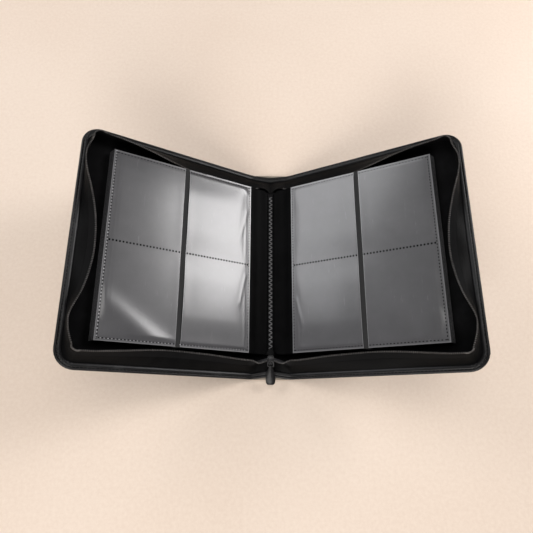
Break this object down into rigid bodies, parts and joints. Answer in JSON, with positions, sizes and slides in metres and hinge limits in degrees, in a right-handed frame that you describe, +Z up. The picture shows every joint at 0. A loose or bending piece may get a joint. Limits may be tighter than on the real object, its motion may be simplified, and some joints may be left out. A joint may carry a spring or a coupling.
{
  "type": "trading card binder",
  "caption": "Zip-round padded binder lying open on its spine, with turning leaves of clear side-loading card pockets, a leaning cloth zip gusset and a swinging zip pull.",
  "frame": {"origin": "centre of the flat outer face of the spine, on the surface that the spine rests on", "axes": "+X across the spine towards the back cover, +Y along the spine away from the zip slider, +Z up between the open covers"},
  "size_m": [0.3878, 0.2499, 0.1186],
  "materials": {
    "cover_leather": "black padded leather-look polyurethane, fine grain, satin",
    "edge_piping": "rolled and stitched edge in the same black leather-look skin",
    "padding_foam": "thin closed-cell foam",
    "stiff_board": "grey bookbinding board of pressed paper",
    "inner_lining": "matt black lining cloth",
    "gusset_cloth": "soft satin black cloth band",
    "zip_tape": "woven black zip tape",
    "zip_coil": "dark grey nylon coil",
    "leaf_backing": "matt black plastic sheet",
    "pocket_film": "hazy clear film with welded edges",
    "binding_thread": "coarse dark grey thread",
    "zip_metal": "black lacquered cast metal, worn edges",
    "pull_tab": "black moulded pull, satin"
  },
  "bodies": {
    "spine": {"spine_skin": "cover_leather", "spine_board": "stiff_board", "spine_lining": "inner_lining", "front_hinge_strip": "cover_leather", "back_hinge_strip": "cover_leather", "leaf_binding_core": "leaf_backing", "binding_thread": "binding_thread", "top_gusset": "gusset_cloth", "bottom_gusset": "gusset_cloth", "zip_slider": "zip_metal"},
    "front_cover": {"front_cover_skin": "cover_leather", "front_cover_foam": "padding_foam", "front_cover_board": "stiff_board", "front_cover_lining": "inner_lining", "front_cover_piping": "edge_piping", "front_gusset_band": "gusset_cloth", "front_zip_tape": "zip_tape", "front_zip_coil": "zip_coil"},
    "back_cover": {"back_cover_skin": "cover_leather", "back_cover_foam": "padding_foam", "back_cover_board": "stiff_board", "back_cover_lining": "inner_lining", "back_cover_piping": "edge_piping", "back_gusset_band": "gusset_cloth", "back_zip_tape": "zip_tape", "back_zip_coil": "zip_coil"},
    "front_leaf_1": {"front_leaf_1_sheet": "leaf_backing", "front_leaf_1_film": "pocket_film"},
    "front_leaf_2": {"front_leaf_2_sheet": "leaf_backing", "front_leaf_2_film": "pocket_film"},
    "front_leaf_3": {"front_leaf_3_sheet": "leaf_backing", "front_leaf_3_film": "pocket_film"},
    "front_leaf_4": {"front_leaf_4_sheet": "leaf_backing", "front_leaf_4_film": "pocket_film"},
    "front_leaf_5": {"front_leaf_5_sheet": "leaf_backing", "front_leaf_5_film": "pocket_film"},
    "front_leaf_6": {"front_leaf_6_sheet": "leaf_backing", "front_leaf_6_film": "pocket_film"},
    "front_leaf_7": {"front_leaf_7_sheet": "leaf_backing", "front_leaf_7_film": "pocket_film"},
    "front_leaf_8": {"front_leaf_8_sheet": "leaf_backing", "front_leaf_8_film": "pocket_film"},
    "back_leaf_1": {"back_leaf_1_sheet": "leaf_backing", "back_leaf_1_film": "pocket_film"},
    "back_leaf_2": {"back_leaf_2_sheet": "leaf_backing", "back_leaf_2_film": "pocket_film"},
    "back_leaf_3": {"back_leaf_3_sheet": "leaf_backing", "back_leaf_3_film": "pocket_film"},
    "back_leaf_4": {"back_leaf_4_sheet": "leaf_backing", "back_leaf_4_film": "pocket_film"},
    "back_leaf_5": {"back_leaf_5_sheet": "leaf_backing", "back_leaf_5_film": "pocket_film"},
    "back_leaf_6": {"back_leaf_6_sheet": "leaf_backing", "back_leaf_6_film": "pocket_film"},
    "back_leaf_7": {"back_leaf_7_sheet": "leaf_backing", "back_leaf_7_film": "pocket_film"},
    "back_leaf_8": {"back_leaf_8_sheet": "leaf_backing", "back_leaf_8_film": "pocket_film"},
    "pull_link": {"pull_link": "zip_metal"},
    "pull_tab": {"pull_tab": "pull_tab"}
  },
  "joints": [
    {"name": "front_cover_hinge", "type": "hinge", "parent": "spine", "child": "front_cover", "pos_m": [-0.022, 0, 0.0009], "axis": [0, 1, 0], "range_deg": [-31, 59], "deforming": ["front_hinge_strip", "front_gusset_band", "front_zip_tape", "front_zip_coil", "top_gusset", "bottom_gusset"]},
    {"name": "front_leaf_1_turn", "type": "hinge", "parent": "spine", "child": "front_leaf_1", "pos_m": [-0.00925, 0, 0.0047], "axis": [0, 1, 0], "range_deg": [-30.1, 57.2]},
    {"name": "front_leaf_2_turn", "type": "hinge", "parent": "spine", "child": "front_leaf_2", "pos_m": [-0.0083, 0, 0.00565], "axis": [0, 1, 0], "range_deg": [-30.1, 57.2]},
    {"name": "front_leaf_3_turn", "type": "hinge", "parent": "spine", "child": "front_leaf_3", "pos_m": [-0.00735, 0, 0.0066], "axis": [0, 1, 0], "range_deg": [-30.1, 57.2]},
    {"name": "front_leaf_4_turn", "type": "hinge", "parent": "spine", "child": "front_leaf_4", "pos_m": [-0.0064, 0, 0.00755], "axis": [0, 1, 0], "range_deg": [-30.1, 57.2]},
    {"name": "front_leaf_5_turn", "type": "hinge", "parent": "spine", "child": "front_leaf_5", "pos_m": [-0.00545, 0, 0.0085], "axis": [0, 1, 0], "range_deg": [-30.1, 57.2]},
    {"name": "front_leaf_6_turn", "type": "hinge", "parent": "spine", "child": "front_leaf_6", "pos_m": [-0.0045, 0, 0.00945], "axis": [0, 1, 0], "range_deg": [-30.1, 57.2]},
    {"name": "front_leaf_7_turn", "type": "hinge", "parent": "spine", "child": "front_leaf_7", "pos_m": [-0.00355, 0, 0.0104], "axis": [0, 1, 0], "range_deg": [-30.1, 57.2]},
    {"name": "front_leaf_8_turn", "type": "hinge", "parent": "front_leaf_7", "child": "front_leaf_8", "pos_m": [-0.0026, 0, 0.01135], "axis": [0, -1, 0], "range_deg": [-119, 0]},
    {"name": "back_cover_hinge", "type": "hinge", "parent": "spine", "child": "back_cover", "pos_m": [0.022, 0, 0.0009], "axis": [0, -1, 0], "range_deg": [-31, 59], "deforming": ["back_hinge_strip", "back_gusset_band", "back_zip_tape", "back_zip_coil"]},
    {"name": "back_leaf_1_turn", "type": "hinge", "parent": "spine", "child": "back_leaf_1", "pos_m": [0.00925, 0, 0.0047], "axis": [0, -1, 0], "range_deg": [-30.1, 57.2]},
    {"name": "back_leaf_2_turn", "type": "hinge", "parent": "spine", "child": "back_leaf_2", "pos_m": [0.0083, 0, 0.00565], "axis": [0, -1, 0], "range_deg": [-30.1, 57.2]},
    {"name": "back_leaf_3_turn", "type": "hinge", "parent": "spine", "child": "back_leaf_3", "pos_m": [0.00735, 0, 0.0066], "axis": [0, -1, 0], "range_deg": [-30.1, 57.2]},
    {"name": "back_leaf_4_turn", "type": "hinge", "parent": "spine", "child": "back_leaf_4", "pos_m": [0.0064, 0, 0.00755], "axis": [0, -1, 0], "range_deg": [-30.1, 57.2]},
    {"name": "back_leaf_5_turn", "type": "hinge", "parent": "spine", "child": "back_leaf_5", "pos_m": [0.00545, 0, 0.0085], "axis": [0, -1, 0], "range_deg": [-30.1, 57.2]},
    {"name": "back_leaf_6_turn", "type": "hinge", "parent": "spine", "child": "back_leaf_6", "pos_m": [0.0045, 0, 0.00945], "axis": [0, -1, 0], "range_deg": [-30.1, 57.2]},
    {"name": "back_leaf_7_turn", "type": "hinge", "parent": "spine", "child": "back_leaf_7", "pos_m": [0.00355, 0, 0.0104], "axis": [0, -1, 0], "range_deg": [-30.1, 57.2]},
    {"name": "back_leaf_8_turn", "type": "hinge", "parent": "back_leaf_7", "child": "back_leaf_8", "pos_m": [0.0026, 0, 0.01135], "axis": [0, 1, 0], "range_deg": [-58, 0]},
    {"name": "pull_link_swing", "type": "hinge", "parent": "spine", "child": "pull_link", "pos_m": [0, -0.10465, 0.01976], "axis": [-1, 0, 0], "range_deg": [0, 117]},
    {"name": "pull_tab_swing", "type": "hinge", "parent": "pull_link", "child": "pull_tab", "pos_m": [0, -0.10955, 0.01727], "axis": [1, 0, 0], "range_deg": [-90, 0]}
  ],
  "couplings": [
    {"joint": "front_leaf_1_turn", "follows": "front_cover_hinge", "ratio": 0.969},
    {"joint": "front_leaf_2_turn", "follows": "front_cover_hinge", "ratio": 0.969},
    {"joint": "front_leaf_3_turn", "follows": "front_cover_hinge", "ratio": 0.969},
    {"joint": "front_leaf_4_turn", "follows": "front_cover_hinge", "ratio": 0.969},
    {"joint": "front_leaf_5_turn", "follows": "front_cover_hinge", "ratio": 0.969},
    {"joint": "front_leaf_6_turn", "follows": "front_cover_hinge", "ratio": 0.969},
    {"joint": "front_leaf_7_turn", "follows": "front_cover_hinge", "ratio": 0.969},
    {"joint": "back_leaf_1_turn", "follows": "back_cover_hinge", "ratio": 0.969},
    {"joint": "back_leaf_2_turn", "follows": "back_cover_hinge", "ratio": 0.969},
    {"joint": "back_leaf_3_turn", "follows": "back_cover_hinge", "ratio": 0.969},
    {"joint": "back_leaf_4_turn", "follows": "back_cover_hinge", "ratio": 0.969},
    {"joint": "back_leaf_5_turn", "follows": "back_cover_hinge", "ratio": 0.969},
    {"joint": "back_leaf_6_turn", "follows": "back_cover_hinge", "ratio": 0.969},
    {"joint": "back_leaf_7_turn", "follows": "back_cover_hinge", "ratio": 0.969}
  ]
}
